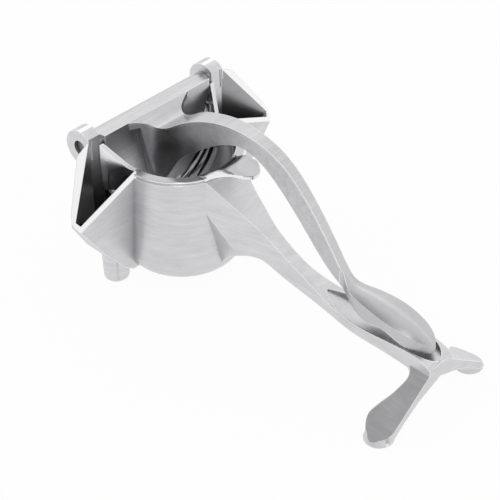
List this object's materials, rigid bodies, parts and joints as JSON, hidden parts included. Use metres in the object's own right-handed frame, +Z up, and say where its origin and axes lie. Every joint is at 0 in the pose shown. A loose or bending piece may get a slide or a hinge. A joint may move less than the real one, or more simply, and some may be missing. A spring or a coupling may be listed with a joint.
{
  "type": "handheld citrus squeezer",
  "caption": "Cast lever press for halved citrus: a bowl on two pegs and a splayed foot holds a slotted strainer, a hinged lever swings a press plate through it and juice leaves by side spouts.",
  "frame": {"origin": "on the table, under the middle of the overall length, midway between the two spouts", "axes": "+X from the hinge towards the foot and the grip, +Y along the hinge pin, +Z up from the table"},
  "size_m": [0.246, 0.1732, 0.1283],
  "materials": {
    "cast_aluminium": "satin, tumbled casting with bright ground rims",
    "polished_aluminium": "polished inside, bright rim",
    "lever_aluminium": "brushed casting with bright ground edges",
    "pin_steel": "plain turned pin, ends peened over"
  },
  "bodies": {
    "base": {"body_casting": "cast_aluminium", "strainer": "polished_aluminium", "hinge_pin": "pin_steel"},
    "lever": {"press_lever": "lever_aluminium"}
  },
  "joints": [
    {"name": "lever_hinge", "type": "hinge", "parent": "base", "child": "lever", "pos_m": [-0.11115, 0, 0.1065], "axis": [0, -1, 0], "range_deg": [0, 115]}
  ]
}
